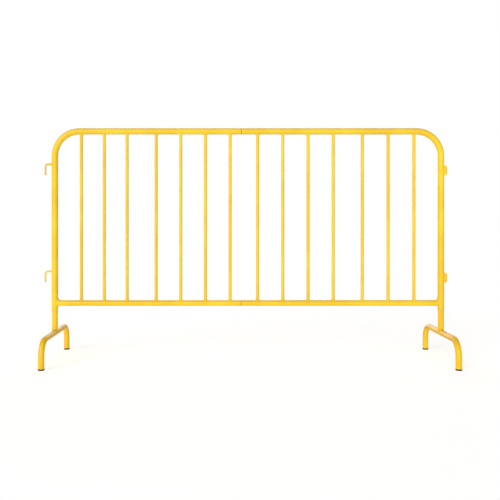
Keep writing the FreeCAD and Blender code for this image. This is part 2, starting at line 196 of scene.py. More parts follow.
# ------------------------------------------------------------------ surfaces as arrays
def tidy_mesh(name, grids):
    """One mesh from several grids of points.

    Each grid is (points, wraps, marks). points has shape (stations, turns, 3) and its second way round
    always closes on itself. wraps says whether the first way does too; if not, a fan of triangles to
    the mean of the end ring closes each end. marks holds one wear value per station, and one value
    of grime, which is dirt together with painted shade.
    """
    corners, quads, fans, wear, grime_and_shade = [], [], [], [], []
    start = 0
    for points, wraps, marks in grids:
        rows, turns = points.shape[:2]
        index = start + np.arange(rows * turns).reshape(rows, turns)
        beside = np.roll(index, -1, axis=1)
        after = np.roll(index, -1, axis=0)
        after_beside = np.roll(beside, -1, axis=0)
        last = None if wraps else -1
        squares = np.stack([index, beside, after_beside, after], axis=-1)[:last].reshape(-1, 4)
        flat = points.reshape(-1, 3)
        values = np.repeat(marks, turns, axis=0)
        triangles = np.empty((0, 3), int)
        if not wraps:
            poles = points[[0, -1]].mean(axis=1)
            pole = start + rows * turns
            first = np.stack([np.full(turns, pole), beside[0], index[0]], axis=-1)
            final = np.stack([np.full(turns, pole + 1), index[-1], beside[-1]], axis=-1)
            triangles = np.concatenate([first, final])
            flat = np.concatenate([flat, poles])
            values = np.concatenate([values, marks[[0, -1]]])
        if signed_volume(flat, squares - start, triangles - start) < 0:
            squares = squares[:, ::-1]
            triangles = triangles[:, ::-1]
        corners.append(flat)
        quads.append(squares)
        fans.append(triangles)
        wear.append(values[:, 0])
        grime_and_shade.append(values[:, 1])
        start += len(flat)
    mesh = bpy.data.meshes.new(name)
    faces = np.concatenate(quads).tolist() + np.concatenate(fans).tolist()
    mesh.from_pydata(np.concatenate(corners).tolist(), [], faces)
    for label, values in (("wear", wear), ("grime_and_shade", grime_and_shade)):
        layer = mesh.attributes.new(label, "FLOAT", "POINT")
        layer.data.foreach_set("value", np.concatenate(values).astype(np.float32))
    mesh.polygons.foreach_set("use_smooth", np.ones(len(mesh.polygons), bool))
    mesh.set_sharp_from_angle(angle=SHARP_ANGLE)
    mesh.validate()
    mesh.update()
    return mesh


def signed_volume(points, squares, triangles):
    """Sum over all faces of corner . (corner x corner) / 6, positive when the faces look outwards."""
    split = np.concatenate([squares[:, [0, 1, 2]], squares[:, [0, 2, 3]], triangles])
    a, b, c = (points[split[:, k]] for k in range(3))
    return float(np.einsum("ij,ij->i", a, np.cross(b, c)).sum()) / 6


def no_marks(count):
    """Wear, and grime with painted shade, of nothing at every station."""
    return np.zeros((count, 2))


def circle(turns):
    """Cosine and sine at equal steps round a circle."""
    angle = np.linspace(0.0, 2.0 * np.pi, turns, endpoint=False)
    return np.cos(angle), np.sin(angle)


def rings(centre, along, side, radius, turns):
    """centre + radius (cos t across + sin t side), where across is side x along."""
    cosine, sine = circle(turns)
    side = np.broadcast_to(side, along.shape)
    across = np.cross(side, along)
    spoke = cosine[None, :, None] * across[:, None, :] + sine[None, :, None] * side[:, None, :]
    return centre[:, None, :] + np.asarray(radius)[:, None, None] * spoke


def straight_run(start, finish, gap):
    """Equally spaced points from start to finish, both included, no further apart than gap."""
    count = max(2, int(math.ceil(np.linalg.norm(finish - start) / gap)) + 1)
    return start + (finish - start) * np.linspace(0.0, 1.0, count)[:, None]


def bent_line(corners, bend, gap):
    """Points and directions along straight runs joined by tangent arcs of one radius.

    Every corner is square. On an arc from direction p to direction q, the point at angle a is
    centre - radius (cos a q - sin a p).
    """
    corners = [np.asarray(corner, float) for corner in corners]
    ways = [(b - a) / np.linalg.norm(b - a) for a, b in zip(corners, corners[1:])]
    trims = [0.0] + [bend] * (len(corners) - 2) + [0.0]
    points, directions = [], []
    for index, way in enumerate(ways):
        begin = corners[index] + way * trims[index]
        end = corners[index + 1] - way * trims[index + 1]
        run = straight_run(begin, end, gap)
        points.append(run)
        directions.append(np.broadcast_to(way, run.shape))
        if index + 1 < len(ways):
            onward = ways[index + 1]
            centre = end + onward * bend
            points.append(centre - bend * (np.cos(BEND_ANGLES) * onward - np.sin(BEND_ANGLES) * way))
            directions.append(np.cos(BEND_ANGLES) * way + np.sin(BEND_ANGLES) * onward)
    return np.concatenate(points), np.concatenate(directions)


def hollow_tube(line, side, outer, inner, turns, male=None):
    """A tube along a bent line, with a rounded lip at each open end.

    The surface runs along the outside, round the far lip, back along the bore and round the near lip:
    on a lip the ring's radius is mean wall radius + half wall cos a, and it stands half wall sin a out.
    male is a list of (distance past the end, outside radius, bore radius) for a necked end.
    """
    centre, along = (part.copy() for part in line)
    half = (outer - inner) / 2
    mean = (outer + inner) / 2
    lip = list(zip(np.cos(LIP_ANGLES), np.sin(LIP_ANGLES)))
    centre[0] += along[0] * half
    if male is None:
        centre[-1] -= along[-1] * half
        far = [(half * s, mean + half * c) for c, s in lip]
        far_wear = LIP_WEAR
    else:
        far = [(step, outside) for step, outside, _ in male]
        far += [(step, bore) for step, _, bore in male[::-1]]
        far_wear = JOINT_WEAR
    near = [(-half * s, mean - half * c) for c, s in lip]
    count = len(centre)

    def stations(anchor, pairs):
        steps = np.array([step for step, _ in pairs])[:, None]
        return centre[anchor] + along[anchor] * steps, np.repeat(along[[anchor]], len(pairs), axis=0)

    far_centre, far_along = stations(-1, far)
    near_centre, near_along = stations(0, near)
    all_centre = np.concatenate([centre, far_centre, centre[::-1], near_centre])
    all_along = np.concatenate([along, far_along, along[::-1], near_along])
    radius = np.concatenate([np.full(count, outer), [r for _, r in far], np.full(count, inner),
                             [r for _, r in near]])
    marks = no_marks(len(radius))
    marks[count:count + len(far), 0] = far_wear
    marks[-len(near):, 0] = LIP_WEAR
    # The necked end gets dirt and painted shadow of the joint gap.
    if male is not None:
        marks[count:count + len(far), 1] = FRAME_JOINT_DIRT_AND_SHADE
    return rings(all_centre, all_along, side, radius, turns), True, marks


def coped_tube(axis, side, origin, reach, copes, stations, turns):
    """A straight tube whose ends fit round tubes.

    A station is (share, step, radius): its point at angle t is share of the way from the first cope to
    the second, plus step. A cope of radius R stands sqrt(R^2 - (radius sin t)^2) off the crossing axis.
    """
    share, step, radius = (np.array(column)[:, None] for column in zip(*stations))
    cosine, sine = circle(turns)
    offset = radius * sine[None, :]
    first = reach[0] + np.sqrt(np.maximum(copes[0] ** 2 - offset ** 2, 0.0))
    second = reach[1] - np.sqrt(np.maximum(copes[1] ** 2 - offset ** 2, 0.0))
    along = first + share * (second - first) + step
    across = np.cross(side, axis)
    points = origin + along[..., None] * axis
    points = points + (radius * cosine[None, :])[..., None] * across + offset[..., None] * side
    return points


def plain_stations(outer, inner, count):
    """Outside from end to end, then the bore back again."""
    shares = np.linspace(0.0, 1.0, count)
    return [(share, 0.0, outer) for share in shares] + [(share, 0.0, inner) for share in shares[::-1]]


def lathe(profile, centre, turns, wraps):
    """Rings of radius r at height z about an upright axis, one for each (r, z) of the profile."""
    radius, height = np.array(profile).T
    centres = np.asarray(centre, float) + height[:, None] * AXIS_Z
    along = np.broadcast_to(AXIS_Z, centres.shape)
    return rings(centres, along, AXIS_Y, radius, turns), wraps


def ripples(distance, pitch, depth):
    """Ripples: depth (1 - |cos(pi distance / pitch)|), sharp crests between round valleys."""
    return depth * (1.0 - np.abs(np.cos(np.pi * distance / pitch)))


def weld_bead(root, toe_one, toe_two, bulge, sizes, closed):
    """A fillet from one toe to the other, with ripples along it.

    Its root is sunk into the metal by a third of a tube's wall.

    The face is the curve (1-v)^2 toe_one + 2v(1-v) crown + v^2 toe_two, with the crown moved from the
    root to the middle of the toes by bulge. Below 1 the face is hollow, above it is full.
    """
    mean = (toe_one + toe_two) / 2
    out = mean - root
    out = out / np.linalg.norm(out, axis=1, keepdims=True)
    crown = root + bulge * (mean - root)
    v = np.linspace(0.0, 1.0, 9)[None, :, None]
    face = (1 - v) ** 2 * toe_one[:, None] + 2 * v * (1 - v) * crown[:, None] + v ** 2 * toe_two[:, None]
    step = np.linalg.norm(np.roll(root, -1, axis=0) - root, axis=1)
    distance = np.concatenate([[0.0], np.cumsum(step[:-1])])
    total = distance[-1] + (step[-1] if closed else 0.0)
    pitch = total / max(1, round(total / sizes.ripple_pitch))
    lift = ripples(distance, pitch, sizes.ripple_depth)[:, None, None] * np.sin(np.pi * v)
    face = face + lift * out[:, None]
    sunk = (root - out * sizes.tube_wall / 3)[:, None]
    points = np.concatenate([face, sunk], axis=1)
    marks = no_marks(len(points))
    # Every point of the bead gets a faint share of dirt and painted shade of its roots.
    marks[:, 1] = WELD_DIRT_AND_SHADE
    return points, closed, marks


def tee_weld(origin, branch, main, side, radii, toe, bulge, sizes):
    """The weld round a round branch that stands on a round main tube.

    At angle t the root is on both tubes: side w = r sin t, along the main c = r cos t, and up the branch
    sqrt(R^2 - w^2). One toe is moved up the branch. The other is moved away over the main tube, which
    turns it by toe sin t / R and slides it by toe cos t.
    """
    branch_radius, main_radius = radii
    fewest, per_ripple = 48, 6
    count = max(fewest, int(2 * np.pi * branch_radius / sizes.ripple_pitch) * per_ripple)
    cosine, sine = circle(count)
    toe = toe(cosine) if callable(toe) else np.full(count, toe)
    width = branch_radius * sine
    slide = branch_radius * cosine

    def place(across, up, rest):
        return origin + across[:, None] * side + rest[:, None] * main + up[:, None] * branch

    rise = np.sqrt(np.maximum(main_radius ** 2 - width ** 2, 0.0))
    turn = np.arcsin(np.clip(width / main_radius, -1, 1)) + toe * sine / main_radius
    root = place(width, rise, slide)
    on_branch = place(width, rise + toe, slide)
    on_main = place(main_radius * np.sin(turn), main_radius * np.cos(turn), slide + toe * cosine)
    return weld_bead(root, on_main, on_branch, bulge, sizes, True)


# ------------------------------------------------------------------ finishes
class Finish:
    """A material's node tree, with short ways to add and join nodes."""

    def __init__(self, name):
        self.material = bpy.data.materials.new(name)
        self.material.use_nodes = True
        self.tree = self.material.node_tree
        self.tree.nodes.clear()
        self.output = self.add("ShaderNodeOutputMaterial")
        self.shader = self.add("ShaderNodeBsdfPrincipled")
        self.tree.links.new(self.shader.outputs["BSDF"], self.output.inputs["Surface"])
        self.place = self.add("ShaderNodeTexCoord").outputs["Object"]

    def add(self, kind, **settings):
        node = self.tree.nodes.new(kind)
        for key, value in settings.items():
            setattr(node, key, value)
        return node

    def feed(self, socket, value):
        if isinstance(value, bpy.types.NodeSocket):
            self.tree.links.new(value, socket)
        else:
            socket.default_value = value

    def noise(self, scale, detail=3.0, roughness=0.5):
        node = self.add("ShaderNodeTexNoise")
        self.feed(node.inputs["Vector"], self.place)
        self.feed(node.inputs["Scale"], scale)
        self.feed(node.inputs["Detail"], detail)
        self.feed(node.inputs["Roughness"], roughness)
        return node.outputs["Fac"]

    def spread(self, value, low, high, to_low=0.0, to_high=1.0):
        node = self.add("ShaderNodeMapRange", interpolation_type="SMOOTHSTEP")
        for name, part in (("Value", value), ("From Min", low), ("From Max", high),
                           ("To Min", to_low), ("To Max", to_high)):
            self.feed(node.inputs[name], part)
        return node.outputs["Result"]

    def combine(self, kind, one, two):
        node = self.add("ShaderNodeMath", operation=kind, use_clamp=True)
        self.feed(node.inputs[0], one)
        self.feed(node.inputs[1], two)
        return node.outputs[0]

    def blend(self, share, one, two):
        node = self.add("ShaderNodeMix", data_type="RGBA", blend_type="MIX")
        self.feed(node.inputs["Factor"], share)
        for name, part in (("A", one), ("B", two)):
            socket = next(s for s in node.inputs if s.name == name and s.type == "RGBA")
            self.feed(socket, part if isinstance(part, bpy.types.NodeSocket) else (*part, 1.0))
        return next(s for s in node.outputs if s.type == "RGBA")

    def mark(self, name):
        return self.add("ShaderNodeAttribute", attribute_type="GEOMETRY",
                        attribute_name=name).outputs["Fac"]

    def height(self):
        node = self.add("ShaderNodeSeparateXYZ")
        self.feed(node.inputs[0], self.place)
        return node.outputs["Z"]

    def bump(self, height, strength, distance, normal=None):
        node = self.add("ShaderNodeBump")
        self.feed(node.inputs["Height"], height)
        self.feed(node.inputs["Strength"], strength)
        self.feed(node.inputs["Distance"], distance)
        if normal is not None:
            self.feed(node.inputs["Normal"], normal)
        return node.outputs["Normal"]


def powder_coat(name, main, colours):
    """Sprayed and baked powder: orange-peel skin, faint cloudiness, thinned edges, dirt and painted shade.

    Dirt lies in splashes close to the floor; in the joints and on the weld beads the grime is dirt together
    with painted shadow of the joint gaps and weld roots.
    """
    finish = Finish(name)
    shader = finish.shader
    main = tuple(main)
    deep = tuple(part * share for part, share in zip(main, (0.93, 0.88, 0.80)))
    pale = tuple(min(1.0, part * share + rise) for part, share, rise in
                 zip(main, (1.01, 1.04, 1.0), (0.0, 0.0, 0.006)))
    cloud = finish.spread(finish.noise(scale=5.5, detail=4.0), low=0.35, high=0.68)
    tone = finish.blend(cloud, deep, pale)
    speck = finish.spread(finish.noise(scale=900.0, detail=2.0), low=0.62, high=0.80, to_high=0.22)
    tone = finish.blend(speck, tone, deep)
    patchy = finish.spread(finish.noise(scale=260.0, detail=4.0), low=0.30, high=0.62)
    edge = finish.combine("MULTIPLY", finish.mark("wear"), patchy)
    tone = finish.blend(finish.combine("MULTIPLY", edge, 0.85), tone, tuple(colours.worn_yellow))
    near_floor = finish.spread(finish.height(), low=0.01, high=0.16, to_low=0.10, to_high=0.0)
    spots = finish.spread(finish.noise(scale=38.0, detail=6.0, roughness=0.62), low=0.48, high=0.78)
    splash = finish.combine("MULTIPLY", near_floor, spots)
    # Grime marks broken by noise: dirt and painted shade in the joint gaps and over the weld beads.
    lodged = finish.spread(finish.noise(scale=170.0, detail=4.0), low=0.1, high=0.6)
    root = finish.combine("MULTIPLY", finish.mark("grime_and_shade"), lodged)
    # Floor splashes of dirt plus the dirt and painted shade of joints and welds darken the tone towards the
    # grime colour.
    dirt_and_shade = finish.combine("ADD", splash, root)
    tone = finish.blend(dirt_and_shade, tone, tuple(colours.grime_and_shade))
    finish.feed(shader.inputs["Base Color"], tone)
    matt = finish.spread(finish.noise(scale=60.0, detail=3.0), low=0.3, high=0.75, to_low=0.26, to_high=0.37)
    rough = finish.combine("ADD", matt, finish.combine("MULTIPLY", dirt_and_shade, 0.4))
    finish.feed(shader.inputs["Roughness"], rough)
    peel = finish.bump(finish.noise(scale=310.0, detail=2.0, roughness=0.4), strength=0.16, distance=0.00025)
    skin = finish.bump(finish.noise(scale=1700.0, detail=2.0), strength=0.10, distance=0.00006, normal=peel)
    finish.feed(shader.inputs["Normal"], skin)
    shader.inputs["IOR"].default_value = 1.47
    shader.inputs["Specular IOR Level"].default_value = 0.33
    shader.inputs["Coat Weight"].default_value = 0.08
    shader.inputs["Coat Roughness"].default_value = 0.12
    return finish.material


def moulded_rubber(name, colours):
    """Black rubber with a bloom of dust, denser towards the floor, and a pebbled mould skin."""
    finish = Finish(name)
    shader = finish.shader
    dust = finish.spread(finish.noise(scale=160.0, detail=6.0, roughness=0.65), low=0.42, high=0.78)
    near_floor = finish.spread(finish.height(), low=0.0, high=0.012, to_low=0.9, to_high=0.35)
    tone = finish.blend(finish.combine("MULTIPLY", dust, near_floor), tuple(colours.rubber),
                        tuple(colours.rubber_dust))
    finish.feed(shader.inputs["Base Color"], tone)
    rough = finish.spread(dust, low=0.0, high=1.0, to_low=0.52, to_high=0.80)
    finish.feed(shader.inputs["Roughness"], rough)
    pebbles = finish.bump(finish.noise(scale=1300.0, detail=3.0), strength=0.30, distance=0.00015)
    finish.feed(shader.inputs["Normal"], pebbles)
    shader.inputs["IOR"].default_value = 1.48
    return finish.material


def zinc_plate(name, colours):
    """Bright zinc: metal with a faint mottled passivation and a fine grain."""
    finish = Finish(name)
    shader = finish.shader
    zinc = tuple(colours.zinc)
    warm = tuple(part * share for part, share in zip(zinc, (0.95, 0.88, 0.70)))
    mottle = finish.spread(finish.noise(scale=420.0, detail=4.0), low=0.45, high=0.72)
    finish.feed(shader.inputs["Base Color"], finish.blend(mottle, zinc, warm))
    rough = finish.spread(finish.noise(scale=650.0, detail=3.0), low=0.3, high=0.7, to_low=0.22, to_high=0.38)
    finish.feed(shader.inputs["Roughness"], rough)
    grain = finish.bump(finish.noise(scale=2600.0, detail=1.0), strength=0.25, distance=0.00004)
    finish.feed(shader.inputs["Normal"], grain)
    shader.inputs["Metallic"].default_value = 1.0
    return finish.material


def studio_floor(name, colours):
    """Plain pale floor with a very faint cloudiness and a glow of its own."""
    finish = Finish(name)
    base = tuple(colours.floor)
    shade = tuple(part * 0.985 for part in base)
    finish.feed(finish.shader.inputs["Base Color"], finish.blend(finish.noise(scale=0.7), base, shade))
    finish.shader.inputs["Roughness"].default_value = 0.9
    finish.shader.inputs["Specular IOR Level"].default_value = 0.1
    finish.shader.inputs["Emission Color"].default_value = (1.0, 1.0, 1.0, 1.0)
    finish.shader.inputs["Emission Strength"].default_value = 0.44
    return finish.material


def finish_for(slot):
    """The finish of one of the record's slots, made once."""
    name = f"{slot}_finish"
    found = bpy.data.materials.get(name)
    if found:
        return found
    colours = bpy.context.scene.barrier_colours
    makers = {
        "frame_powder_coat": lambda: powder_coat(name, colours.frame_yellow, colours),
        "foot_powder_coat": lambda: powder_coat(name, colours.foot_yellow_and_bounce, colours),
        "black_rubber": lambda: moulded_rubber(name, colours),
        "zinc_plate": lambda: zinc_plate(name, colours),
    }
    return makers[slot]()


def add_piece(name, grids, body, slot, stands_for=()):
    """A finished piece at the origin, riding on its body, with its finish."""
    piece = bpy.data.objects.new(name, tidy_mesh(name, grids))
    bpy.context.scene.collection.objects.link(piece)
    piece.data.materials.append(finish_for(slot))
    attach(piece, body)
    if stands_for:
        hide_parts(*stands_for)
    return piece


# ------------------------------------------------------------------ the pieces
def male_profile(outer, sizes):
    """The necked end that enters the other half: (distance, outside radius, bore radius).

    Its tip narrows by a quarter of the lead.
    """
    bore = outer - sizes.tube_wall
    male = bore - sizes.swage_fit
    male_bore = male - sizes.tube_wall
    joint_x = RIGHT_HALF_X - sizes.swage_taper
    tip = MALE_END_X - joint_x
    return [
        (0.0, outer, bore),
        (sizes.swage_taper, male, male_bore),
        (tip - sizes.swage_lead, male, male_bore),
        (tip, male - sizes.swage_lead / 4, male_bore),
    ]


class BARRIER_OT_frame_tubes(bpy.types.Operator):
    """Bend the two tubes that make the legs and the top rail"""
    bl_idname = f"{HOUSE}.frame_tubes"
    bl_label = "Frame Tubes"

    def execute(self, context):
        sizes = context.scene.barrier_sizes
        outer, inner = FRAME_RADIUS, FRAME_RADIUS - sizes.tube_wall
        for side in SIDES:
            joint_x = RIGHT_HALF_X if side == "right" else RIGHT_HALF_X - sizes.swage_taper
            leg = LEG_X[side]
            line = bent_line([(leg, 0, LEG_BOTTOM), (leg, 0, TOP_Z), (joint_x, 0, TOP_Z)],
                             sizes.corner_radius, sizes.station_gap)
            male = male_profile(FRAME_RADIUS, sizes) if side == "left" else None
            tube = hollow_tube(line, AXIS_Y, outer, inner, sizes.turns, male)
            add_piece(f"{side}_frame_tube_finished", [tube], "panel", "frame_powder_coat",
                      [f"{side}_frame_tube"])
        return {"FINISHED"}


class BARRIER_OT_bottom_rails(bpy.types.Operator):
    """Cut and cope the two halves of the bottom rail"""
    bl_idname = f"{HOUSE}.bottom_rails"
    bl_label = "Bottom Rails"

    def execute(self, context):
        sizes = context.scene.barrier_sizes
        outer, inner = RAIL_RADIUS, RAIL_RADIUS - sizes.tube_wall
        shares = np.linspace(0.0, 1.0, RAIL_RINGS)
        origin = np.array([0.0, 0.0, RAIL_Z])
        half = sizes.tube_wall / 2
        for side in SIDES:
            if side == "left":
                reach, copes = (LEG_X[side], RIGHT_HALF_X - sizes.swage_taper), (FRAME_RADIUS, 0.0)
                male = male_profile(RAIL_RADIUS, sizes)
                stations = [(share, 0.0, outer) for share in shares]
                stations += [(1.0, step, outside) for step, outside, _ in male]
                stations += [(1.0, step, bore) for step, _, bore in male[::-1]]
                stations += [(share, 0.0, inner) for share in shares[::-1]]
                marks = no_marks(len(stations))
                # The necked end gets wear, and dirt with painted shadow of the joint gap.
                marks[len(shares):len(shares) + 2 * len(male)] = (JOINT_WEAR, RAIL_JOINT_DIRT_AND_SHADE)
            else:
                reach, copes = (RIGHT_HALF_X + half, LEG_X[side]), (0.0, FRAME_RADIUS)
                stations = [(share, 0.0, outer) for share in shares]
                stations += [(share, 0.0, inner) for share in shares[::-1]]
                lip = [(0.0, -half * math.sin(angle), (outer + inner) / 2 - half * math.cos(angle))
                       for angle in LIP_ANGLES]
                marks = no_marks(len(stations) + len(lip))
                stations += lip
                marks[-len(lip):, 0] = LIP_WEAR
            points = coped_tube(AXIS_X, AXIS_Y, origin, reach, copes, stations, sizes.turns)
            add_piece(f"{side}_bottom_rail_finished", [(points, True, marks)], "panel",
                      "frame_powder_coat", [f"{side}_bottom_rail"])
        return {"FINISHED"}


class BARRIER_OT_upright_bars(bpy.types.Operator):
    """Cope every upright bar between the two rails"""
    bl_idname = f"{HOUSE}.upright_bars"
    bl_label = "Upright Bars"

    def execute(self, context):
        sizes = context.scene.barrier_sizes
        stations = plain_stations(BAR_RADIUS, BAR_RADIUS - sizes.bar_wall, BAR_RINGS)
        for name in BARS:
            origin = np.array([middle(name)[0], 0.0, 0.0])
            points = coped_tube(AXIS_Z, AXIS_Y, origin, (RAIL_Z, TOP_Z), (RAIL_RADIUS, FRAME_RADIUS),
                                stations, SLIM_TURNS)
            add_piece(f"{name}_finished", [(points, True, no_marks(len(stations)))], "panel",
                      "frame_powder_coat", [name])
        return {"FINISHED"}


class BARRIER_OT_hooks(bpy.types.Operator):
    """Bend the two rod hooks on the hook end's leg"""
    bl_idname = f"{HOUSE}.hooks"
    bl_label = "Hooks"

    def execute(self, context):
        sizes = context.scene.barrier_sizes
        for level in LEVELS:
            low, high = low_high(f"{level}_hook")
            radius = float(high[1])
            rod_z, pin_x = high[2] - radius, low[0] + radius
            root_x = LEG_X["left"] - FRAME_RADIUS + sizes.tube_wall / 2
            line, along = bent_line([(root_x, 0, rod_z), (pin_x, 0, rod_z), (pin_x, 0, low[2])],
                                    sizes.hook_bend, sizes.station_gap / HOOK_RINGS_PER_GAP)
            chamfer, arm_fade = sizes.hook_chamfer, 0.02
            tip = [(-chamfer, radius), (-0.45 * chamfer, radius - 0.35 * chamfer),
                   (-0.1 * chamfer, radius - 0.85 * chamfer), (0.0, radius - 1.25 * chamfer)]
            centre = np.concatenate([line[:-1], line[-1] + np.array([[s] for s, _ in tip]) * along[-1]])
            way = np.concatenate([along[:-1], np.repeat(along[[-1]], len(tip), axis=0)])
            reach = np.concatenate([np.full(len(line) - 1, radius), [r for _, r in tip]])
            marks = no_marks(len(reach))
            marks[-len(tip):, 0] = HOOK_TIP_WEAR
            along_arm = (centre[:-len(tip), 0] - pin_x) / arm_fade
            marks[:-len(tip), 0] = np.clip(along_arm, 0, 1) * HOOK_ARM_WEAR
            points = rings(centre, way, AXIS_Y, reach, SLIM_TURNS)
            add_piece(f"{level}_hook_finished", [(points, False, marks)], "panel",
                      "frame_powder_coat", [f"{level}_hook"])
        return {"FINISHED"}


class BARRIER_OT_receivers(bpy.types.Operator):
    """Form the two strap sleeves on the receiver end's leg"""
    bl_idname = f"{HOUSE}.receivers"
    bl_label = "Receivers"

    def execute(self, context):
        """Carry a thin rounded section along the strap's line.

        Its half height at x is H - r + sqrt(r^2 - (x - x0)^2) past x0, which rounds the outer corners
        as seen from the front.
        """
        sizes = context.scene.barrier_sizes
        half = sizes.strap_thickness / 2
        edge = half * STRAP_EDGE_SHARE
        for level in LEVELS:
            low, high = low_high(f"{level}_receiver")
            arm, web, tall = high[1] - half, high[0] - half, (high[2] - low[2]) / 2
            start = LEG_X["right"] + math.sqrt(FRAME_RADIUS ** 2 - arm ** 2) - sizes.tube_wall / 2
            line, along = bent_line([(start, -arm, 0), (web, -arm, 0), (web, arm, 0), (start, arm, 0)],
                                    sizes.strap_bend, sizes.station_gap / STRAP_RINGS_PER_GAP)
            out = np.cross(along, AXIS_Z)
            quarter = np.linspace(0.0, np.pi / 2, 6)
            corner = np.concatenate([quarter + k * np.pi / 2 for k in range(4)])
            diagonal = np.repeat(np.arange(4) * np.pi / 2 + np.pi / 4, len(quarter))
            thick = np.sign(np.cos(diagonal)) * (half - edge) + edge * np.cos(corner)
            upward = np.sign(np.sin(diagonal))
            flat = line[:, None, :] + thick[None, :, None] * out[:, None, :]
            past = np.clip(flat[..., 0] - (high[0] - sizes.strap_corner), 0.0, sizes.strap_corner)
            reach = tall - sizes.strap_corner + np.sqrt(sizes.strap_corner ** 2 - past ** 2)
            level_z = (low[2] + high[2]) / 2
            flat[..., 2] = level_z + upward * (reach - edge) + edge * np.sin(corner)
            marks = no_marks(len(line))
            marks[:, 0] = RECEIVER_WEAR
            add_piece(f"{level}_receiver_finished", [(flat, False, marks)], "panel",
                      "frame_powder_coat", [f"{level}_receiver"])
        return {"FINISHED"}


class BARRIER_OT_feet(bpy.types.Operator):
    """Bend the foot bridges and make their stems and stop rings"""
    bl_idname = f"{HOUSE}.feet"
    bl_label = "Lift-out Feet"

    def execute(self, context):
        sizes = context.scene.barrier_sizes
        for side in SIDES:
            x = LEG_X[side]
            line = bent_line([(x, -FOOT_Y, FOOT_END_Z), (x, -FOOT_Y, FOOT_Z), (x, FOOT_Y, FOOT_Z),
                              (x, FOOT_Y, FOOT_END_Z)], sizes.foot_bend, sizes.station_gap)
            bridge = hollow_tube(line, AXIS_X, FOOT_RADIUS, FOOT_RADIUS - sizes.tube_wall, sizes.turns)
            add_piece(f"{side}_foot_bridge_finished", [bridge], f"{side}_foot", "foot_powder_coat",
                      [f"{side}_foot_bridge"])
            add_piece(f"{side}_foot_stem_finished", [self.stem(side, sizes)], f"{side}_foot",
                      "foot_powder_coat", [f"{side}_foot_stem"])
            add_piece(f"{side}_stop_ring_finished", [self.ring(side, sizes)], f"{side}_ring",
                      "foot_powder_coat", [f"{side}_stop_ring"])
        return {"FINISHED"}

    def stem(self, side, sizes):
        """The coped stem, with the rolled bead that carries the stop ring."""
        low, high = low_high(f"{side}_foot_stem")
        crest = (high[0] - low[0]) / 2
        outer = crest - sizes.bead_height
        inner = outer - sizes.tube_wall
        seat = low_high(f"{side}_stop_ring")[0][2] - sizes.ring_fit
        foot = seat - sizes.bead_length
        half = sizes.tube_wall / 2
        stations = [(share, 0.0, outer) for share in np.linspace(0.0, 1.0, 8)]
        bead_start = len(stations)
        arch = np.linspace(0.0, 1.0, 9)[1:]
        stations += [(1.0, sizes.bead_length * part, outer + sizes.bead_height * math.sin(np.pi / 2 * part))
                     for part in arch]
        stations += [(1.0, sizes.bead_length, outer)]
        first_above = len(stations)
        top = high[2] - foot
        stations += [(1.0, step, outer) for step in np.linspace(sizes.bead_length, top - half, 6)[1:]]
        stations += [(1.0, top - half + half * math.sin(angle), (outer + inner) / 2 + half * math.cos(angle))
                     for angle in LIP_ANGLES]
        stations += [(1.0, step, inner) for step in np.linspace(top - half, 0.0, 8)]
        stations += [(share, 0.0, inner) for share in np.linspace(1.0, 0.0, 8)[1:]]
        origin = np.array([LEG_X[side], 0.0, 0.0])
        points = coped_tube(AXIS_Z, AXIS_X, origin, (FOOT_Z, foot), (FOOT_RADIUS, 0.0), stations,
                            sizes.turns)
        marks = no_marks(len(stations))
        marks[bead_start:first_above + 1, 0] = BEAD_WEAR
        return points, True, marks

    def ring(self, side, sizes):
        """A ring of rectangular section, its corners rounded to a third of its width."""
        low, high = low_high(f"{side}_stop_ring")
        stem_low, stem_high = low_high(f"{side}_foot_stem")
        outer = (high[0] - low[0]) / 2
        inner = (stem_high[0] - stem_low[0]) / 2 - sizes.bead_height + sizes.ring_fit
        edge = (outer - inner) / 3
        quarter = np.linspace(0.0, np.pi / 2, 5)
        angle = np.concatenate([quarter + k * np.pi / 2 for k in range(4)])
        corner_r = np.repeat([outer - edge, inner + edge, inner + edge, outer - edge], len(quarter))
        corner_z = np.repeat([high[2] - edge, high[2] - edge, low[2] + edge, low[2] + edge], len(quarter))
        profile = np.stack([corner_r + edge * np.cos(angle), corner_z + edge * np.sin(angle)], axis=1)
        points, wraps = lathe(profile, (LEG_X[side], 0.0, 0.0), sizes.turns, True)
        marks = no_marks(len(profile))
        marks[:, 0] = RING_WEAR
        return points, wraps, marks


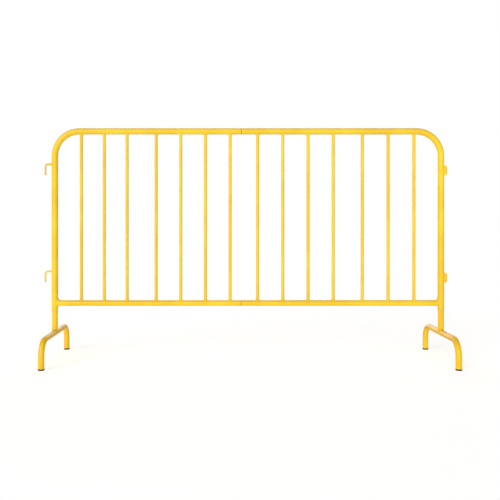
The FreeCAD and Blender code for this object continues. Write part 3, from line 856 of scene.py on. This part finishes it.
class BARRIER_OT_rubber_caps(bpy.types.Operator):
    """Mould the four rubber caps under the feet"""
    bl_idname = f"{HOUSE}.rubber_caps"
    bl_label = "Rubber Caps"

    def execute(self, context):
        """A disc with a ringed underside, rounded above and below, and a ribbed plug that tapers.

        The underside rises by tread sin^2 from ring to ring. At share s of its height the plug's
        radius is R - depth (1 - |cos(ribs pi s)|) - taper s. The plug's end is flat inside its rim.
        """
        sizes = context.scene.barrier_sizes
        tread_from, tread_to, tread_rings, tread_points = 0.22, 0.86, 4, 33
        rib_count, rib_depth, rib_points, plug_taper = 5, 0.0006, 61, 0.0002
        plug_start, plug_stop, rim_step, end_share = 0.0002, 0.001, 0.0015, 0.3
        for side in SIDES:
            for end in ("front", "rear"):
                node = f"{side}_{end}_cap"
                low, high = low_high(node)
                centre = (low + high) / 2
                outer = (high[0] - low[0]) / 2
                plug = FOOT_RADIUS - sizes.tube_wall - sizes.cap_fit
                round_off = sizes.cap_rounding
                tread = sizes.cap_tread
                tread_at = np.linspace(tread_from, tread_to, tread_points) * (outer - round_off)
                tread_z = tread * np.sin(np.linspace(0.0, tread_rings * np.pi, tread_points)) ** 2
                under = [(r, low[2] + z) for r, z in zip(tread_at, tread_z)]
                turn = np.linspace(0.0, np.pi / 2, 9)
                sole = [(outer - round_off * (1 - math.sin(a)), low[2] + round_off * (1 - math.cos(a)))
                        for a in turn]
                half_off = 0.5 * round_off
                shoulder = [(outer - half_off * (1 - math.cos(a)), FOOT_END_Z - half_off * (1 - math.sin(a)))
                            for a in turn]
                rise = np.linspace(FOOT_END_Z + plug_start, high[2] - plug_stop, rib_points)
                part = (rise - rise[0]) / (rise[-1] - rise[0])
                rib = rib_depth * (1.0 - np.abs(np.cos(np.pi * part * rib_count)))
                ribs = [(plug - cut - plug_taper * p, z) for z, cut, p in zip(rise, rib, part)]
                profile = [*under, *sole, *shoulder, (plug, FOOT_END_Z), *ribs,
                           (plug - rim_step, high[2]), (plug * end_share, high[2])]
                points, wraps = lathe(profile, (centre[0], centre[1], 0.0), CAP_TURNS, False)
                add_piece(f"{node}_finished", [(points, wraps, no_marks(len(profile)))],
                          f"{side}_foot", "black_rubber", [node])
        return {"FINISHED"}


class BARRIER_OT_welds(bpy.types.Operator):
    """Run the weld beads at every joint of the steel"""
    bl_idname = f"{HOUSE}.welds"
    bl_label = "Weld Beads"

    def execute(self, context):
        sizes = context.scene.barrier_sizes
        top, bottom = [], []
        for name in BARS:
            x = middle(name)[0]
            bottom.append(tee_weld(np.array([x, 0, RAIL_Z]), AXIS_Z, AXIS_X, AXIS_Y,
                                   (BAR_RADIUS, RAIL_RADIUS), sizes.bar_weld,
                                   BAR_WELD_BULGE, sizes))
            top.append(tee_weld(np.array([x, 0, TOP_Z]), -AXIS_Z, AXIS_X, AXIS_Y,
                                (BAR_RADIUS, FRAME_RADIUS), sizes.bar_weld,
                                BAR_WELD_BULGE, sizes))
        add_piece("bar_welds_top", top, "panel", "frame_powder_coat")
        add_piece("bar_welds_bottom", bottom, "panel", "frame_powder_coat")

        def rail_toe(cosine):
            over = sizes.rail_gusset - sizes.rail_weld
            return sizes.rail_weld + over * np.maximum(cosine, 0.0) ** 2

        for side in SIDES:
            inwards = AXIS_X if side == "left" else -AXIS_X
            leg = np.array([LEG_X[side], 0, RAIL_Z])
            weld = tee_weld(leg, inwards, AXIS_Z, AXIS_Y, (RAIL_RADIUS, FRAME_RADIUS), rail_toe,
                            RAIL_WELD_BULGE, sizes)
            add_piece(f"{side}_rail_weld", [weld], "panel", "frame_powder_coat")
            stem_low, stem_high = low_high(f"{side}_foot_stem")
            stem_radius = (stem_high[0] - stem_low[0]) / 2 - sizes.bead_height
            weld = tee_weld(np.array([LEG_X[side], 0, FOOT_Z]), AXIS_Z, AXIS_Y, AXIS_X,
                            (stem_radius, FOOT_RADIUS), sizes.stem_weld, STEM_WELD_BULGE,
                            sizes)
            add_piece(f"{side}_stem_weld", [weld], f"{side}_foot", "foot_powder_coat")
        for level in LEVELS:
            high = low_high(f"{level}_hook")[1]
            radius = float(high[1])
            weld = tee_weld(np.array([LEG_X["left"], 0, high[2] - radius]), -AXIS_X, AXIS_Z, AXIS_Y,
                            (radius, FRAME_RADIUS), sizes.hook_weld, HOOK_WELD_BULGE,
                            sizes)
            add_piece(f"{level}_hook_weld", [weld], "panel", "frame_powder_coat")
            add_piece(f"{level}_receiver_welds", self.strap_welds(level, sizes), "panel",
                      "frame_powder_coat")
        return {"FINISHED"}

    def strap_welds(self, level, sizes):
        """An upright bead down each outer face of a receiver, fading at both ends."""
        low, high = low_high(f"{level}_receiver")
        face = high[1]
        count, inset, fade_power, least = 110, 0.003, 8, 0.02
        height = np.linspace(low[2] + inset, high[2] - inset, count)
        share = np.linspace(-1.0, 1.0, count)
        toe = sizes.strap_weld * np.sqrt(np.maximum(1.0 - share ** fade_power, least))
        turn = math.asin(face / FRAME_RADIUS)
        grids = []
        for sign in (-1, 1):
            def line(angle, extra):
                x = LEG_X["right"] + FRAME_RADIUS * np.cos(angle) + extra
                y = sign * FRAME_RADIUS * np.sin(angle)
                return np.stack([x + 0 * height, y + 0 * height, height], axis=1)
            root = line(turn, 0.0)
            grids.append(weld_bead(root, line(turn + toe / FRAME_RADIUS, 0.0), line(turn, toe),
                                   STRAP_WELD_BULGE, sizes, False))
        return grids


class BARRIER_OT_joint_screws(bpy.types.Operator):
    """Give the two joint screws their plating"""
    bl_idname = f"{HOUSE}.joint_screws"
    bl_label = "Joint Screws"

    def execute(self, context):
        for name in ("top_joint_screw", "bottom_joint_screw"):
            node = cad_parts[name]
            node.data.materials.clear()
            node.data.materials.append(finish_for("zinc_plate"))
        return {"FINISHED"}


class BARRIER_OT_stage(bpy.types.Operator):
    """Set the floor, the soft lights and the camera"""
    bl_idname = f"{HOUSE}.stage"
    bl_label = "Stage"

    def execute(self, context):
        scene = context.scene
        self.floor(scene)
        self.lights(scene)
        self.camera(scene)
        scene.view_settings.view_transform = "Standard"
        scene.view_settings.look = "None"
        return {"FINISHED"}

    def floor(self, scene):
        """A flat square, reaching far past the object."""
        reach = 30.0
        mesh = bpy.data.meshes.new("studio_floor")
        mesh.from_pydata([(-reach, -reach, 0), (reach, -reach, 0), (reach, reach, 0),
                          (-reach, reach, 0)], [], [(0, 1, 2, 3)])
        floor = bpy.data.objects.new("studio_floor", mesh)
        mesh.materials.append(studio_floor("studio_floor", scene.barrier_colours))
        scene.collection.objects.link(floor)
        floor.visible_glossy = False

    def lights(self, scene):
        """A pale surround, a soft key in front to one side, and softer fills in front and behind."""
        world = bpy.data.worlds.new("studio")
        scene.world = world
        world.use_nodes = True
        nodes, links = world.node_tree.nodes, world.node_tree.links
        nodes.clear()
        output = nodes.new("ShaderNodeOutputWorld")
        seen = nodes.new("ShaderNodeBackground")
        lit = nodes.new("ShaderNodeBackground")
        chosen = nodes.new("ShaderNodeMixShader")
        path = nodes.new("ShaderNodeLightPath")
        seen.inputs["Color"].default_value = (1.0, 1.0, 1.0, 1.0)
        lit.inputs["Color"].default_value = (1.0, 0.99, 0.97, 1.0)
        lit.inputs["Strength"].default_value = 0.29
        links.new(path.outputs["Is Camera Ray"], chosen.inputs[0])
        links.new(lit.outputs[0], chosen.inputs[1])
        links.new(seen.outputs[0], chosen.inputs[2])
        links.new(chosen.outputs[0], output.inputs["Surface"])
        lamps = [
            ("key_light", (-2.6, -4.0, 2.2), 40.0, 1.42),
            ("fill_light", (0.3, -4.0, 0.4), 50.0, 0.95),
            ("back_light", (-0.6, 4.0, 1.6), 50.0, 0.95),
        ]
        for name, place, width, power in lamps:
            light = bpy.data.lights.new(name, "SUN")
            light.angle = math.radians(width)
            light.energy = power
            lamp = bpy.data.objects.new(name, light)
            lamp.location = place
            lamp.rotation_euler = (-Vector(place)).to_track_quat("-Z", "Y").to_euler()
            scene.collection.objects.link(lamp)

    def camera(self, scene):
        """Level, square to the frame, left of its middle, above half height, with a small shift."""
        lens = bpy.data.cameras.new("camera")
        lens.sensor_width = 36.0
        lens.lens = 50.4
        lens.shift_x = 0.055
        lens.shift_y = -0.058
        camera = bpy.data.objects.new("camera", lens)
        camera.location = (-0.126, -3.472, 0.6845)
        camera.rotation_euler = (math.radians(90.0), 0.0, 0.0)
        scene.collection.objects.link(camera)
        scene.camera = camera


class BARRIER_PT_panel(bpy.types.Panel):
    """Lists the steps that build the barrier"""
    bl_idname = "BARRIER_PT_panel"
    bl_label = "Crowd Control Barrier"
    bl_space_type = "VIEW_3D"
    bl_region_type = "UI"
    bl_category = "Barrier"

    def draw(self, context):
        for step in STEPS:
            self.layout.operator(step.bl_idname)
        for group in (context.scene.barrier_sizes, context.scene.barrier_colours):
            box = self.layout.box()
            for name in group.__annotations__:
                box.prop(group, name)


STEPS = (
    BARRIER_OT_frame_tubes,
    BARRIER_OT_bottom_rails,
    BARRIER_OT_upright_bars,
    BARRIER_OT_hooks,
    BARRIER_OT_receivers,
    BARRIER_OT_feet,
    BARRIER_OT_rubber_caps,
    BARRIER_OT_joint_screws,
    BARRIER_OT_welds,
    BARRIER_OT_stage,
)
CLASSES = (BarrierSizes, BarrierColours, *STEPS, BARRIER_PT_panel)


def register():
    """Make the settings, the operators and the panel known."""
    for item in CLASSES:
        bpy.utils.register_class(item)
    bpy.types.Scene.barrier_sizes = PointerProperty(type=BarrierSizes)
    bpy.types.Scene.barrier_colours = PointerProperty(type=BarrierColours)


def unregister():
    """Take them out again."""
    del bpy.types.Scene.barrier_colours
    del bpy.types.Scene.barrier_sizes
    for item in reversed(CLASSES):
        bpy.utils.unregister_class(item)


def main():
    """Build the barrier and its stage."""
    register()
    for step in STEPS:
        group, name = step.bl_idname.split(".")
        result = getattr(getattr(bpy.ops, group), name)()
        if result != {"FINISHED"}:
            raise RuntimeError(f"{step.bl_label} did not finish")
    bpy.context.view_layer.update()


if __name__ == "__main__":
    main()
